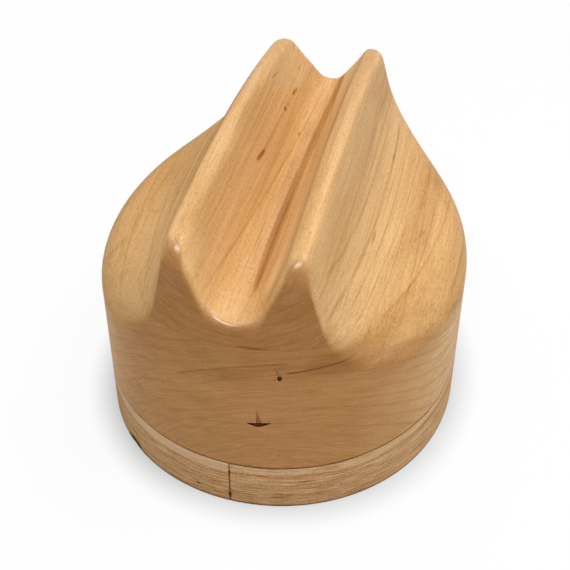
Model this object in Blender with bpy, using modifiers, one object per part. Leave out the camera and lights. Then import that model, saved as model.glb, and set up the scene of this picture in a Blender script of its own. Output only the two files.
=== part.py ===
# Western hat block: a creased crown, glued up from two boards, on a two-piece plywood base.
# Lengths are in metres. +Z is up, X runs across the head oval, and -Y is its broader end.
import math

import bmesh
import bpy
from mathutils import Vector

# Head oval, the one outline of crown and base
OVAL_LENGTH = 0.198
OVAL_WIDTH = 0.1728
OVAL_TAPER = 0.07              # share by which the -Y end is broader than the middle

# Base plate, two halves butted on a straight seam
BASE_THICKNESS = 0.027
BASE_SEAM_X = -0.004
BASE_EDGE_EASE = 0.0007

# Crown boards: from the centre crease's mean height down to the one glue line
WEB_UNDER_CREASE = 0.0111

# Heights over the base plate at the -Y rim, the middle and the +Y rim
RIDGE_HEIGHT_FRONT = 0.1160
RIDGE_HEIGHT_MIDDLE = 0.1228
RIDGE_HEIGHT_BACK = 0.1101
CREASE_HEIGHT_FRONT = 0.0854
CREASE_HEIGHT_MIDDLE = 0.0822
CREASE_HEIGHT_BACK = 0.0871
HOLLOW_HEIGHT_FRONT = 0.0570   # lowest point of the circle that hollows a side shelf
HOLLOW_HEIGHT_MIDDLE = 0.0664
HOLLOW_HEIGHT_BACK = 0.0672

# Cross-section of the crown at its two rims, even in between
RIDGE_OFFSET_FRONT = 0.0258    # ridge line to centre line
RIDGE_OFFSET_BACK = 0.0231
RIDGE_RADIUS = 0.0053
CREASE_RADIUS_FRONT = 0.0139
CREASE_RADIUS_BACK = 0.0075
FLANK_ANGLE_FRONT = math.radians(76.6)
FLANK_ANGLE_BACK = math.radians(73.0)
HOLLOW_RADIUS = 0.045          # between a ridge's outer flank and its side shelf
SHELF_SLOPE = math.radians(8.5)

# Rounding where the top meets the wall
LIP_RADIUS_CREASE = 0.0038
LIP_RADIUS_RIDGE = 0.0108
LIP_RADIUS_SHELF = 0.0152
LIP_BLEND_WIDTH = 0.040        # from a ridge out to where the shelf's own rounding is full

# Blind socket for the spindle of a blocking stand
SOCKET_DIAMETER = 0.032
SOCKET_INTO_CROWN = 0.013      # depth in the lower board, past the base plate
SOCKET_MOUTH_CHAMFER = 0.0015

# Countersunk wood screws, up through the base into the lower board
SCREW_COUNT = 8
SCREW_INSET = 0.024
SCREW_SHANK_DIAMETER = 0.0042
SCREW_HEAD_DIAMETER = 0.008
SCREW_HEAD_EDGE = 0.0004
SCREW_HEAD_HEIGHT = 0.0027
SCREW_POINT_LENGTH = 0.006
SCREW_POINT_RADIUS = 0.0004
SCREW_RECESS = 0.0006          # head below the base's underside
SCREW_INTO_CROWN = 0.0186      # reach into the lower board, past the base plate

# Clearance kept between touching pieces, and how far cutters reach past what they cut
FIT_GAP = 0.0003
CUT_PAST = 0.005

# Points closer than this are one point; edges sharper than these angles stay hard or are eased
MERGE_DISTANCE = 1e-6
HARD_EDGE_ANGLE = math.radians(40)
EASED_EDGE_ANGLE = math.radians(60)
CENTRE_REACH = 0.01            # share of the oval round its centre where no wall is near

# Facet sizes
FACET_ANGLE = math.radians(12)
FACET_LENGTH = 0.007
MARCH_STEP = 0.0001
ROWS_ALONG = 28
OVAL_FACETS = 144
BORE_FACETS = 48
SCREW_FACETS = 16

HALF_LENGTH = OVAL_LENGTH / 2
HALF_WIDTH = OVAL_WIDTH / 2
RIDGE_OFFSET_MIDDLE = (RIDGE_OFFSET_FRONT + RIDGE_OFFSET_BACK) / 2
CREASE_RADIUS_MIDDLE = (CREASE_RADIUS_FRONT + CREASE_RADIUS_BACK) / 2
FLANK_ANGLE_MIDDLE = (FLANK_ANGLE_FRONT + FLANK_ANGLE_BACK) / 2
MEAN_CREASE = (CREASE_HEIGHT_FRONT + CREASE_HEIGHT_MIDDLE + CREASE_HEIGHT_BACK) / 3
GLUE_LINE = BASE_THICKNESS + MEAN_CREASE - WEB_UNDER_CREASE
CROWN_TOP = BASE_THICKNESS + max(RIDGE_HEIGHT_FRONT, RIDGE_HEIGHT_MIDDLE, RIDGE_HEIGHT_BACK)
SOCKET_DEPTH = BASE_THICKNESS + SOCKET_INTO_CROWN
SCREW_LENGTH = BASE_THICKNESS + SCREW_INTO_CROWN - SCREW_RECESS


def clear_scene():
    for thing in list(bpy.data.objects):
        bpy.data.objects.remove(thing, do_unlink=True)


def new_collection(name):
    collection = bpy.data.collections.new(name)
    bpy.context.scene.collection.children.link(collection)
    return collection


def new_object(name, mesh, collection):
    thing = bpy.data.objects.new(name, mesh)
    collection.objects.link(thing)
    return thing


def mesh_from(bm, name):
    mesh = bpy.data.meshes.new(name)
    bm.to_mesh(mesh)
    bm.free()
    return mesh


def make_material(name, colour, roughness, metallic=0.0):
    material = bpy.data.materials.new(name)
    material.use_nodes = True
    shader = material.node_tree.nodes["Principled BSDF"]
    shader.inputs["Base Color"].default_value = (*colour, 1)
    shader.inputs["Roughness"].default_value = roughness
    shader.inputs["Metallic"].default_value = metallic
    return material


def taper(y):
    """Share of the nominal width that the oval has at y."""
    return 1 - OVAL_TAPER * y / HALF_LENGTH


def along(front, middle, back, y):
    """Value at y of the parabola through the three values at the front rim, middle and back rim."""
    t = y / HALF_LENGTH
    return middle + (back - front) / 2 * t + ((front + back) / 2 - middle) * t * t


def smooth_step(t):
    t = min(max(t, 0), 1)
    return t * t * (3 - 2 * t)


def hollow_arc(x, centre_x, centre_z, radius):
    """Lower half of a circle: the profile turns up."""
    return centre_z - math.sqrt(max(radius ** 2 - (x - centre_x) ** 2, 0))


def round_arc(x, centre_x, centre_z, radius):
    """Upper half of a circle: the profile turns down."""
    return centre_z + math.sqrt(max(radius ** 2 - (x - centre_x) ** 2, 0))


def relief_height(x, y):
    """Height of the crown's creased top before its rim is rounded.

    The cross-section is the centre crease's arc, a straight wall, the ridge's arc, a straight flank,
    the hollow beside it and the sloping shelf, each tangent to the next.
    """
    x = abs(x)
    ridge = BASE_THICKNESS + along(RIDGE_HEIGHT_FRONT, RIDGE_HEIGHT_MIDDLE, RIDGE_HEIGHT_BACK, y)
    crease = BASE_THICKNESS + along(CREASE_HEIGHT_FRONT, CREASE_HEIGHT_MIDDLE, CREASE_HEIGHT_BACK, y)
    hollow = BASE_THICKNESS + along(HOLLOW_HEIGHT_FRONT, HOLLOW_HEIGHT_MIDDLE, HOLLOW_HEIGHT_BACK, y)
    ridge_x = along(RIDGE_OFFSET_FRONT, RIDGE_OFFSET_MIDDLE, RIDGE_OFFSET_BACK, y)
    crease_radius = along(CREASE_RADIUS_FRONT, CREASE_RADIUS_MIDDLE, CREASE_RADIUS_BACK, y)
    flank_angle = along(FLANK_ANGLE_FRONT, FLANK_ANGLE_MIDDLE, FLANK_ANGLE_BACK, y)

    # Crease wall: the tangent that passes between the crease's circle and the ridge's
    crease_z = crease + crease_radius
    ridge_z = ridge - RIDGE_RADIUS
    distance = math.hypot(ridge_x, ridge_z - crease_z)
    turn = math.asin(min((crease_radius + RIDGE_RADIUS) / distance, 1))
    wall_angle = math.atan2(ridge_z - crease_z, ridge_x) + turn
    wall_start = crease_radius * math.sin(wall_angle)
    wall_end = ridge_x - RIDGE_RADIUS * math.sin(wall_angle)

    # Outer flank, and the hollow that carries it into the shelf
    flank_start = ridge_x + RIDGE_RADIUS * math.sin(flank_angle)
    flank_top = ridge_z + RIDGE_RADIUS * math.cos(flank_angle)
    drop_in_hollow = 1 - math.cos(flank_angle)
    radius = min(HOLLOW_RADIUS, (flank_top - hollow) / drop_in_hollow)
    flank_bottom = hollow + radius * drop_in_hollow
    flank_end = flank_start + (flank_top - flank_bottom) / math.tan(flank_angle)
    hollow_x = flank_end + radius * math.sin(flank_angle)
    hollow_z = hollow + radius
    shelf_start = hollow_x - radius * math.sin(SHELF_SLOPE)

    if x < wall_start:
        return hollow_arc(x, 0, crease_z, crease_radius)
    if x < wall_end:
        return crease_z - crease_radius * math.cos(wall_angle) + (x - wall_start) * math.tan(wall_angle)
    if x < flank_start:
        return round_arc(x, ridge_x, ridge_z, RIDGE_RADIUS)
    if x < flank_end:
        return flank_top - (x - flank_start) * math.tan(flank_angle)
    if x < shelf_start:
        return hollow_arc(x, hollow_x, hollow_z, radius)
    return hollow_z - radius * math.cos(SHELF_SLOPE) - (x - shelf_start) * math.tan(SHELF_SLOPE)


def lip_radius(x):
    """Rounding at the rim: tight over the centre crease, wider at the ridges, widest on the shelves."""
    x = abs(x)
    inner = LIP_RADIUS_RIDGE - LIP_RADIUS_CREASE
    outer = LIP_RADIUS_SHELF - LIP_RADIUS_RIDGE
    radius = LIP_RADIUS_CREASE + inner * smooth_step(x / RIDGE_OFFSET_MIDDLE)
    return radius + outer * smooth_step((x - RIDGE_OFFSET_MIDDLE) / LIP_BLEND_WIDTH)


def inset_from_wall(x, y):
    """Distance inwards from the wall of the untapered oval, close to exact near it."""
    reach = math.hypot(x / HALF_WIDTH, y / HALF_LENGTH)
    if reach < CENTRE_REACH:
        return HALF_WIDTH
    slope = math.hypot(x / HALF_WIDTH ** 2, y / HALF_LENGTH ** 2) / reach
    return max((1 - reach) / slope, 0)


def crown_height(x, y):
    """Height of the finished top: the relief, less the rim's rounding. x is on the untapered oval."""
    across = x * taper(y)
    radius = lip_radius(across)
    inset = min(inset_from_wall(x, y), radius)
    return relief_height(across, y) - radius + math.sqrt(radius ** 2 - (radius - inset) ** 2)


def column_places():
    """Places across the oval for the crown's long lines of facets, closer where the top curves."""
    places = [0.0]
    spent = 0.0
    last_angle = 0.0
    x = MARCH_STEP
    while x < HALF_WIDTH - MARCH_STEP:
        rise = crown_height(x + MARCH_STEP, 0) - crown_height(x, 0)
        angle = math.atan2(rise, MARCH_STEP)
        spent += MARCH_STEP / FACET_LENGTH + abs(angle - last_angle) / FACET_ANGLE
        last_angle = angle
        if spent >= 1:
            places.append(x)
            spent = 0.0
        x += MARCH_STEP
    places.append(HALF_WIDTH)
    return [-x for x in reversed(places[1:])] + places


def crown_blank():
    """The whole crown as one closed body: a grid laid over the oval, raised to the creased top."""
    places = column_places()
    bm = bmesh.new()
    bmesh.ops.create_grid(bm, x_segments=len(places) - 1, y_segments=ROWS_ALONG, size=1)
    for vertex in bm.verts:
        column = round((vertex.co.x + 1) / 2 * (len(places) - 1))
        x = places[column]
        chord = math.sqrt(max(1 - (x / HALF_WIDTH) ** 2, 0))
        y = HALF_LENGTH * chord * math.sin(vertex.co.y * math.pi / 2)
        vertex.co = (x * taper(y), y, crown_height(x, y))
    bmesh.ops.remove_doubles(bm, verts=bm.verts, dist=MERGE_DISTANCE)
    rim = [edge for edge in bm.edges if edge.is_boundary]
    skirt = bmesh.ops.extrude_edge_only(bm, edges=rim)["geom"]
    for vertex in (item for item in skirt if isinstance(item, bmesh.types.BMVert)):
        vertex.co.z = BASE_THICKNESS
    bottom = [edge for edge in bm.edges if edge.is_boundary]
    bmesh.ops.edgeloop_fill(bm, edges=bottom)
    bmesh.ops.recalc_face_normals(bm, faces=bm.faces)
    return mesh_from(bm, "crown_blank")


def base_blank():
    """The oval plate before it is sawn in two."""
    bm = bmesh.new()
    bmesh.ops.create_cone(bm, cap_ends=True, segments=OVAL_FACETS, radius1=1, radius2=1, depth=1)
    for vertex in bm.verts:
        y = HALF_LENGTH * vertex.co.y
        x = HALF_WIDTH * vertex.co.x * taper(y)
        vertex.co = (x, y, (vertex.co.z + 0.5) * (BASE_THICKNESS - FIT_GAP))
    return mesh_from(bm, "base_blank")


def turned(name, profile, facets, collection):
    """A turned body about Z, from (radius, height) points that run down its outer side."""
    mesh = bpy.data.meshes.new(name)
    points = [(radius, 0, height) for radius, height in profile]
    mesh.from_pydata(points, [(i, i + 1) for i in range(len(points) - 1)], [])
    thing = new_object(name, mesh, collection)
    screw = thing.modifiers.new("turn", "SCREW")
    screw.steps = facets
    screw.render_steps = facets
    screw.use_merge_vertices = True
    screw.merge_threshold = MERGE_DISTANCE
    return thing


def box(name, low, high, collection):
    bm = bmesh.new()
    bmesh.ops.create_cube(bm, size=1)
    low, high = Vector(low), Vector(high)
    for vertex in bm.verts:
        share = vertex.co + Vector((0.5, 0.5, 0.5))
        vertex.co = low + Vector(a * b for a, b in zip(share, high - low))
    return new_object(name, mesh_from(bm, name), collection)


def hide_cutter(thing):
    thing.display_type = "WIRE"
    thing.hide_render = True
    return thing


def cut(thing, cutter, operation="DIFFERENCE"):
    boolean = thing.modifiers.new(cutter.name, "BOOLEAN")
    boolean.object = cutter
    boolean.operation = operation
    boolean.solver = "EXACT"


def slab_cutter(name, low_z, high_z, cutters, low_x=-OVAL_WIDTH, high_x=OVAL_WIDTH):
    """A box wider than the block that keeps one board or one half of the base."""
    slab = box(name, (low_x, -OVAL_LENGTH, low_z), (high_x, OVAL_LENGTH, high_z), cutters)
    return hide_cutter(slab)


def socket_cutter(cutters):
    radius = SOCKET_DIAMETER / 2
    mouth = radius + SOCKET_MOUTH_CHAMFER
    profile = [(0, SOCKET_DEPTH), (radius, SOCKET_DEPTH), (radius, SOCKET_MOUTH_CHAMFER),
               (mouth, 0), (mouth, -CUT_PAST), (0, -CUT_PAST)]
    return hide_cutter(turned("socket_cutter", profile, BORE_FACETS, cutters))


def screw_profile(clearance=0.0, start=0.0):
    """Screw standing on its head, point up; with a clearance it is the hole that the screw needs."""
    head = SCREW_HEAD_DIAMETER / 2 + clearance
    shank = SCREW_SHANK_DIAMETER / 2 + clearance
    point = SCREW_POINT_RADIUS + clearance
    return [(0, SCREW_LENGTH + clearance),
            (point, SCREW_LENGTH + clearance),
            (shank, SCREW_LENGTH - SCREW_POINT_LENGTH),
            (shank, SCREW_HEAD_HEIGHT + clearance),
            (head, SCREW_HEAD_EDGE + clearance),
            (head, start),
            (0, start)]


def screw_places():
    """Evenly turned round an oval inside the wall, clear of the seam and of both long axes."""
    for i in range(SCREW_COUNT):
        angle = 2 * math.pi * (i + 0.5) / SCREW_COUNT
        y = (HALF_LENGTH - SCREW_INSET) * math.sin(angle)
        x = (HALF_WIDTH - SCREW_INSET) * math.cos(angle) * taper(y)
        yield Vector((x, y, SCREW_RECESS))


def make_screws(parts, material):
    shared = None
    for number, place in enumerate(screw_places(), start=1):
        screw = turned(f"base_screw_{number}", screw_profile(), SCREW_FACETS, parts)
        if shared is None:
            shared = screw.data
            shared.materials.append(material)
        screw.data = shared
        screw.location = place


def screw_hole_cutters(cutters):
    holes = []
    for number, place in enumerate(screw_places(), start=1):
        profile = screw_profile(FIT_GAP, -CUT_PAST)
        hole = turned(f"screw_hole_{number}", profile, SCREW_FACETS, cutters)
        hole.location = place
        holes.append(hide_cutter(hole))
    return holes


def make_crown(parts, cutters, materials, socket, holes):
    """Two boards sawn out of the one crown shape along its glue line."""
    blank = crown_blank()
    levels = [BASE_THICKNESS, GLUE_LINE, CROWN_TOP + CUT_PAST]
    names = ["crown_lower_board", "crown_ridge_board"]
    for name, material, low, high in zip(names, materials, levels, levels[1:]):
        board = new_object(name, blank.copy(), parts)
        board.data.materials.append(material)
        board.data.shade_smooth()
        board.data.set_sharp_from_angle(angle=HARD_EDGE_ANGLE)
        slab = slab_cutter(f"{name}_slab", low + FIT_GAP / 2, high - FIT_GAP / 2, cutters)
        cut(board, slab, "INTERSECT")
        if name == "crown_lower_board":
            for cutter in [socket, *holes]:
                cut(board, cutter)


def make_base(parts, cutters, material, socket, holes):
    """The plate's two halves, each with half of the socket and its own screw holes."""
    blank = base_blank()
    spans = {"base_left_half": (-OVAL_WIDTH, BASE_SEAM_X - FIT_GAP / 2),
             "base_right_half": (BASE_SEAM_X + FIT_GAP / 2, OVAL_WIDTH)}
    for name, (low_x, high_x) in spans.items():
        half = new_object(name, blank.copy(), parts)
        half.data.materials.append(material)
        ease = half.modifiers.new("eased_edges", "BEVEL")
        ease.width = BASE_EDGE_EASE
        ease.segments = 1
        ease.limit_method = "ANGLE"
        ease.angle_limit = EASED_EDGE_ANGLE
        top_z = BASE_THICKNESS + CUT_PAST
        span = slab_cutter(f"{name}_span", -CUT_PAST, top_z, cutters, low_x, high_x)
        cut(half, span, "INTERSECT")
        cut(half, socket)
        for hole in holes:
            if low_x < hole.location.x < high_x:
                cut(half, hole)


clear_scene()
block_parts = new_collection("hat_block")
block_cutters = new_collection("hat_block_cutters")

board_materials = [make_material("alder_lower", (0.50, 0.30, 0.13), 0.38),
                   make_material("alder_ridge", (0.64, 0.38, 0.17), 0.34)]
plywood = make_material("birch_plywood", (0.54, 0.37, 0.20), 0.45)
steel = make_material("zinc_plated_steel", (0.56, 0.56, 0.54), 0.35, 1.0)

stand_socket = socket_cutter(block_cutters)
screw_holes = screw_hole_cutters(block_cutters)
make_crown(block_parts, block_cutters, board_materials, stand_socket, screw_holes)
make_base(block_parts, block_cutters, plywood, stand_socket, screw_holes)
make_screws(block_parts, steel)
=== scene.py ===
import math

import bmesh
import bpy
from mathutils import Matrix, Vector, noise


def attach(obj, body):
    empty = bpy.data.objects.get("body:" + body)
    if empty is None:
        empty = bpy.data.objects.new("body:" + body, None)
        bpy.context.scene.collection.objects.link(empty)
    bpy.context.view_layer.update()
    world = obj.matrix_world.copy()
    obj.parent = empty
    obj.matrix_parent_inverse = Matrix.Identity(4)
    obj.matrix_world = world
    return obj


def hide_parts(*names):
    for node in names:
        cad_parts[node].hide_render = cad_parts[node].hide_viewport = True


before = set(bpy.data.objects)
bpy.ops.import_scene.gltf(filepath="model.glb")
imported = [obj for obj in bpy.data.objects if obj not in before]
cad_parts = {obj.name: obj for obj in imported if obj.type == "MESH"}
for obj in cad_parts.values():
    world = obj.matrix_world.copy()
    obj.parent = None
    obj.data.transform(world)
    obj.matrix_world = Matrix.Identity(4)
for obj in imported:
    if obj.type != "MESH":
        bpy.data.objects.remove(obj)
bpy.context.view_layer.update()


# Crown shape: the block's head is two alder boards glued face to face and then carved as one:
# a crease between two ridges, a hollow and a shelf outside each ridge, and a rounded rim.
# The carving follows a rule, so Geometry Nodes raise it from a grid laid over the head oval.
OVAL_HALF_LENGTH = 0.099
OVAL_HALF_WIDTH = 0.0864
OVAL_TAPER = 0.07
BASE_TOP = 0.027
GLUE_LINE = 0.1008
CROWN_SIZES = {
    "Columns": 381, "Rows": 221,
    "Half Length": OVAL_HALF_LENGTH, "Half Width": OVAL_HALF_WIDTH, "Taper": OVAL_TAPER,
    "Foot": BASE_TOP,
    "Ridge Front": 0.1430, "Ridge Middle": 0.1498, "Ridge Back": 0.1371,
    "Crease Front": 0.1124, "Crease Middle": 0.1092, "Crease Back": 0.1141,
    "Hollow Front": 0.0840, "Hollow Middle": 0.0934, "Hollow Back": 0.0942,
    "Ridge Offset Front": 0.0258, "Ridge Offset Back": 0.0231, "Ridge Radius": 0.0053,
    "Crease Radius Front": 0.0139, "Crease Radius Back": 0.0075,
    "Flank Angle Front": math.radians(76.6), "Flank Angle Back": math.radians(73.0),
    "Hollow Radius": 0.045, "Shelf Slope": math.radians(8.5),
    "Lip At Crease": 0.0038, "Lip At Ridge": 0.0108, "Lip At Shelf": 0.0152, "Lip Blend": 0.040,
}
MERGE_DISTANCE = 1e-6
LEAST_REACH = 0.01


class Value:
    """A node socket that can stand in a Python expression: each operation adds its node."""

    def __init__(self, tree, socket):
        self.tree, self.socket = tree, socket

    def step(self, operation, *others):
        inputs = dict(enumerate((self, *others)))
        return self.tree.add("ShaderNodeMath", {"operation": operation}, inputs)

    def swapped(self, operation, first):
        return self.tree.add("ShaderNodeMath", {"operation": operation}, {0: first, 1: self})

    def __add__(self, other): return self.step("ADD", other)
    def __sub__(self, other): return self.step("SUBTRACT", other)
    def __mul__(self, other): return self.step("MULTIPLY", other)
    def __truediv__(self, other): return self.step("DIVIDE", other)
    def __pow__(self, other): return self.step("POWER", other)
    def __lt__(self, other): return self.step("LESS_THAN", other)
    def __gt__(self, other): return self.step("GREATER_THAN", other)
    def __rsub__(self, other): return self.swapped("SUBTRACT", other)
    def __neg__(self): return self.step("MULTIPLY", -1)
    def __abs__(self): return self.step("ABSOLUTE")
    __radd__, __rmul__ = __add__, __mul__

    def low(self, other): return self.step("MINIMUM", other)
    def high(self, other): return self.step("MAXIMUM", other)
    def sine(self): return self.step("SINE")
    def cosine(self): return self.step("COSINE")
    def tangent(self): return self.step("TANGENT")
    def root(self): return self.high(0).step("SQRT")
    def fraction(self): return self.step("FRACT")

    def output(self, name):
        """Another output of the node that this value comes from."""
        return Value(self.tree, self.socket.node.outputs[name])

    def parts(self):
        split = self.tree.add("ShaderNodeSeparateXYZ", {}, {0: self})
        return split, split.output("Y"), split.output("Z")

    def ramp(self, start, end):
        """0 up to start, 1 from end on, with an eased rise in between; start may be the larger."""
        if start > end:
            return 1 - self.ramp(end, start)
        return self.tree.add("ShaderNodeMapRange", {"interpolation_type": "SMOOTHSTEP"},
                             {"Value": self, "From Min": start, "From Max": end})


class Tree:
    """A node tree whose nodes are made by add(), which gives back a node's output as a Value."""

    def __init__(self, nodes):
        self.nodes = nodes

    def add(self, kind, settings=None, sockets=None, output=0):
        node = self.nodes.nodes.new(kind)
        for name, setting in (settings or {}).items():
            setattr(node, name, setting)
        for key, value in (sockets or {}).items():
            if isinstance(value, Value):
                self.nodes.links.new(value.socket, node.inputs[key])
            else:
                node.inputs[key].default_value = value
        return Value(self, node.outputs[output]) if node.outputs else None

    def vector(self, x, y, z):
        return self.add("ShaderNodeCombineXYZ", {}, {0: x, 1: y, 2: z})


def choose(condition, yes, no):
    return no + (yes - no) * condition


def even(share, front, back):
    """The straight line through two values at shares -1 and 1 of the half length."""
    return (front + back) * 0.5 + (back - front) * 0.5 * share


def bowed(share, front, middle, back):
    """The parabola through three values at shares -1, 0 and 1 of the half length."""
    return middle + (back - front) * 0.5 * share + ((front + back) * 0.5 - middle) * share * share


def eased(share):
    share = share.high(0).low(1)
    return share * share * (3 - 2 * share)


def long_side(a, b):
    return (a * a + b * b).root()


def carved_relief(size, x, share):
    """Height of the carving: crease, wall, ridge, flank, hollow and shelf, all tangent in turn."""
    def height_of(form):
        return bowed(share, *(size[f"{form} {place}"] for place in ("Front", "Middle", "Back")))

    ridge_x = even(share, size["Ridge Offset Front"], size["Ridge Offset Back"])
    flank = even(share, size["Flank Angle Front"], size["Flank Angle Back"])
    crease_radius = even(share, size["Crease Radius Front"], size["Crease Radius Back"])
    ridge_radius = size["Ridge Radius"]
    ridge_z = height_of("Ridge") - ridge_radius
    crease_z = crease_radius + height_of("Crease")
    hollow = height_of("Hollow")

    rise = ridge_z - crease_z
    turn = ((crease_radius + ridge_radius) / long_side(ridge_x, rise)).low(1).step("ARCSINE")
    wall = rise.step("ARCTAN2", ridge_x) + turn
    wall_start = crease_radius * wall.sine()
    wall_end = ridge_x - ridge_radius * wall.sine()

    flank_start = ridge_x + ridge_radius * flank.sine()
    flank_top = ridge_z + ridge_radius * flank.cosine()
    drop = 1 - flank.cosine()
    radius = size["Hollow Radius"].low((flank_top - hollow) / drop)
    flank_end = flank_start + (flank_top - hollow - radius * drop) / flank.tangent()
    hollow_x = flank_end + radius * flank.sine()
    hollow_z = hollow + radius
    slope = size["Shelf Slope"]
    shelf_start = hollow_x - radius * slope.sine()

    height = hollow_z - radius * slope.cosine() - (x - shelf_start) * slope.tangent()
    in_hollow = hollow_z - (radius * radius - (x - hollow_x) * (x - hollow_x)).root()
    height = choose(x < shelf_start, in_hollow, height)
    height = choose(x < flank_end, flank_top - (x - flank_start) * flank.tangent(), height)
    on_ridge = ridge_z + (ridge_radius * ridge_radius - (x - ridge_x) * (x - ridge_x)).root()
    height = choose(x < flank_start, on_ridge, height)
    on_wall = crease_z - crease_radius * wall.cosine() + (x - wall_start) * wall.tangent()
    height = choose(x < wall_end, on_wall, height)
    return choose(x < wall_start, crease_z - (crease_radius * crease_radius - x * x).root(), height)


def rim_drop(size, x, inset):
    """How far the rim's rounding lies under the carving, this far inside the oval's wall."""
    ridge_x = even(0, size["Ridge Offset Front"], size["Ridge Offset Back"])
    inner = (size["Lip At Ridge"] - size["Lip At Crease"]) * eased(x / ridge_x)
    outer = (size["Lip At Shelf"] - size["Lip At Ridge"]) * eased((x - ridge_x) / size["Lip Blend"])
    radius = size["Lip At Crease"] + inner + outer
    rest = radius - inset.low(radius)
    return radius - (radius * radius - rest * rest).root()


def tree_with_sizes(name, sizes):
    """A Geometry Nodes tree, its input for each of the named sizes, and the mesh that it gets."""
    group = bpy.data.node_groups.new(name, "GeometryNodeTree")
    group.interface.new_socket(name="Geometry", in_out="OUTPUT", socket_type="NodeSocketGeometry")
    group.interface.new_socket(name="Geometry", in_out="INPUT", socket_type="NodeSocketGeometry")
    for title, size in sizes.items():
        kind = "NodeSocketInt" if isinstance(size, int) else "NodeSocketFloat"
        group.interface.new_socket(name=title, in_out="INPUT", socket_type=kind)
    tree = Tree(group)
    start = tree.add("NodeGroupInput")
    return tree, {title: start.output(title) for title in sizes}, start


def grown(name, tree, sizes, mesh=None):
    """Runs the tree on a new object and keeps the result as its plain mesh."""
    thing = bpy.data.objects.new(name, mesh or bpy.data.meshes.new(name))
    bpy.context.scene.collection.objects.link(thing)
    shape = thing.modifiers.new("shape", "NODES")
    shape.node_group = tree.nodes
    for item in tree.nodes.interface.items_tree:
        if item.in_out == "INPUT" and item.name in sizes:
            shape[item.identifier] = sizes[item.name]
    graph = bpy.context.evaluated_depsgraph_get()
    made = bpy.data.meshes.new_from_object(thing.evaluated_get(graph), depsgraph=graph)
    thing.modifiers.remove(shape)
    thing.data = made
    return thing


def crown_tree(material):
    tree, size, _ = tree_with_sizes("carved_crown", CROWN_SIZES)
    grid = tree.add("GeometryNodeMeshGrid", {}, {
        "Size X": 1, "Size Y": 1, "Vertices X": size["Columns"], "Vertices Y": size["Rows"]})
    u, v, _ = tree.add("GeometryNodeInputPosition").parts()
    across, lengthways = u * math.pi, v * math.pi
    half_length, half_width = size["Half Length"], size["Half Width"]
    share = across.cosine() * lengthways.sine()
    plain_x = half_width * across.sine()
    y = half_length * share
    x = plain_x * (1 - size["Taper"] * share)
    reach = long_side(plain_x / half_width, share).high(LEAST_REACH)
    slope = (long_side(plain_x / half_width ** 2, y / half_length ** 2) / reach).high(1)
    inset = ((1 - reach) / slope).high(0)
    z = carved_relief(size, abs(x), share) - rim_drop(size, abs(x), inset)
    top = tree.add("GeometryNodeSetPosition", {}, {0: grid, "Position": tree.vector(x, y, z)})
    top = tree.add("GeometryNodeMergeByDistance", {}, {0: top, "Distance": MERGE_DISTANCE})
    sides = tree.add("GeometryNodeInputMeshEdgeNeighbors")
    rim = tree.add("FunctionNodeCompare", {"data_type": "INT", "operation": "EQUAL"},
                   {2: sides, 3: 1})
    skirt = tree.add("GeometryNodeExtrudeMesh", {"mode": "EDGES"},
                     {"Mesh": top, "Selection": rim, "Offset": (0, 0, 0), "Offset Scale": 0})
    x, y, _ = tree.add("GeometryNodeInputPosition").parts()
    body = tree.add("GeometryNodeSetPosition", {}, {
        0: skirt, "Selection": skirt.output("Top"), "Position": tree.vector(x, y, size["Foot"])})
    body = tree.add("GeometryNodeRealizeInstances", {}, {0: body})
    body = tree.add("GeometryNodeSetMaterial", {}, {0: body, "Material": material})
    tree.add("NodeGroupOutput", {}, {0: body})
    return tree


# Alder boards: clear honey wood with long grain along the block and brown end grain at both ends,
# sanded smooth under a thin satin finish. The lower board's rings arch over a heart below it, the
# ridge board's hang round a heart above it. A few growth lines, flecks and two knots show.
# Their colour also holds painted shade and painted light where the carving turns from the lamps.
MM_PER_METRE = 1000


def new_material(name):
    material = bpy.data.materials.new(name)
    material.use_nodes = True
    material.node_tree.nodes.clear()
    return material, Tree(material.node_tree)


def colour(red, green, blue):
    """A colour given as it looks on a screen, 0 to 255, in the linear values that Blender takes."""
    shares = (part / 255 for part in (red, green, blue))
    return (*(s / 12.92 if s <= 0.04045 else ((s + 0.055) / 1.055) ** 2.4 for s in shares), 1)


def millimetres(tree):
    """The point on the piece in millimetres, in the block's own frame."""
    return tree.add("ShaderNodeVectorMath", {"operation": "SCALE"},
                    {0: tree.add("ShaderNodeTexCoord", output="Object"), "Scale": MM_PER_METRE})


def grain(tree, point, length, start=(0, 0, 0), detail=3, roughness=0.55):
    """Noise of the given feature length along each axis, about 0 and mostly within -0.5 and 0.5."""
    place = tree.add("ShaderNodeVectorMath", {"operation": "MULTIPLY_ADD"},
                     {0: point, 1: tuple(1 / part for part in length), 2: start})
    texture = tree.add("ShaderNodeTexNoise", {}, {
        "Vector": place, "Scale": 1, "Detail": detail, "Roughness": roughness})
    return (texture - 0.5) * 2


def mixed(tree, share, first, second, blend="MIX"):
    settings = {"data_type": "RGBA", "blend_type": blend, "clamp_factor": True}
    return tree.add("ShaderNodeMix", settings, {0: share, 6: first, 7: second}, output=2)


def finished(tree, base, roughness, height, depth,
             gloss=0.5, coat=0.0, coat_roughness=0.03, metallic=0.0):
    """The shader for a surface: its colour, its gloss, and a relief that is depth metres high."""
    relief = tree.add("ShaderNodeBump", {}, {"Strength": 1, "Distance": depth, "Height": height})
    shader = tree.add("ShaderNodeBsdfPrincipled", {}, {
        "Base Color": base, "Roughness": roughness, "Metallic": metallic, "Normal": relief,
        "Specular IOR Level": gloss, "Coat Weight": coat, "Coat Roughness": coat_roughness})
    tree.add("ShaderNodeOutputMaterial", {}, {0: shader})


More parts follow.
